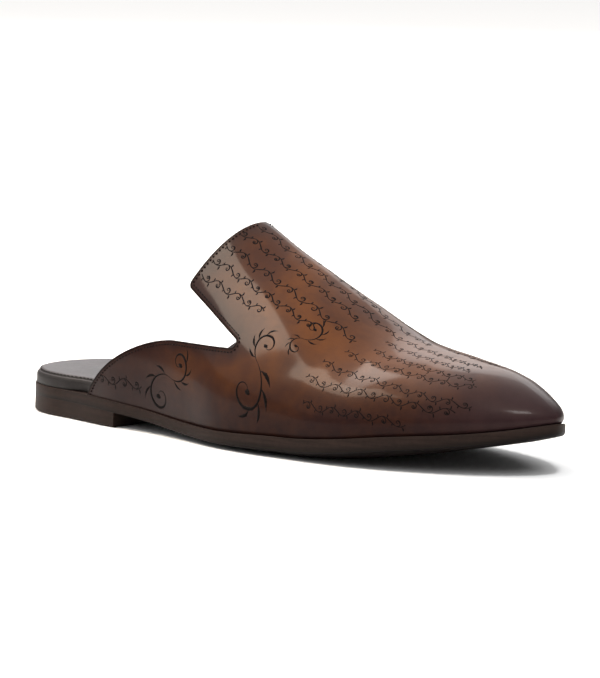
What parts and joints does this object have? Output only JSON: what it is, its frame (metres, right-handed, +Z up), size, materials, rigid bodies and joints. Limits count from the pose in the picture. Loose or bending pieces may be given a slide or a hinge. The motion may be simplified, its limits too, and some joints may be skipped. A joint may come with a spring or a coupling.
{
  "type": "babouche slipper",
  "caption": "Backless leather slipper for the right foot: hollow one-piece upper with a high instep flap and side wings, padded insole, thin sole and low heel block.",
  "frame": {"origin": "on the floor under the middle of the shoe's box", "axes": "+X towards the toe, +Y towards the inner side of the foot, +Z up"},
  "size_m": [0.2902, 0.0944, 0.0884],
  "materials": {
    "patinated_leather": "burnished brown calf leather with a satin sheen and darkened edges",
    "lining_leather": "dark grey-brown lining leather, soft satin",
    "sole_leather": "dark stained sole edge, satin"
  },
  "bodies": {
    "root": {"outsole": "sole_leather", "heel": "sole_leather", "insole": "lining_leather", "upper": "patinated_leather"}
  },
  "joints": []
}
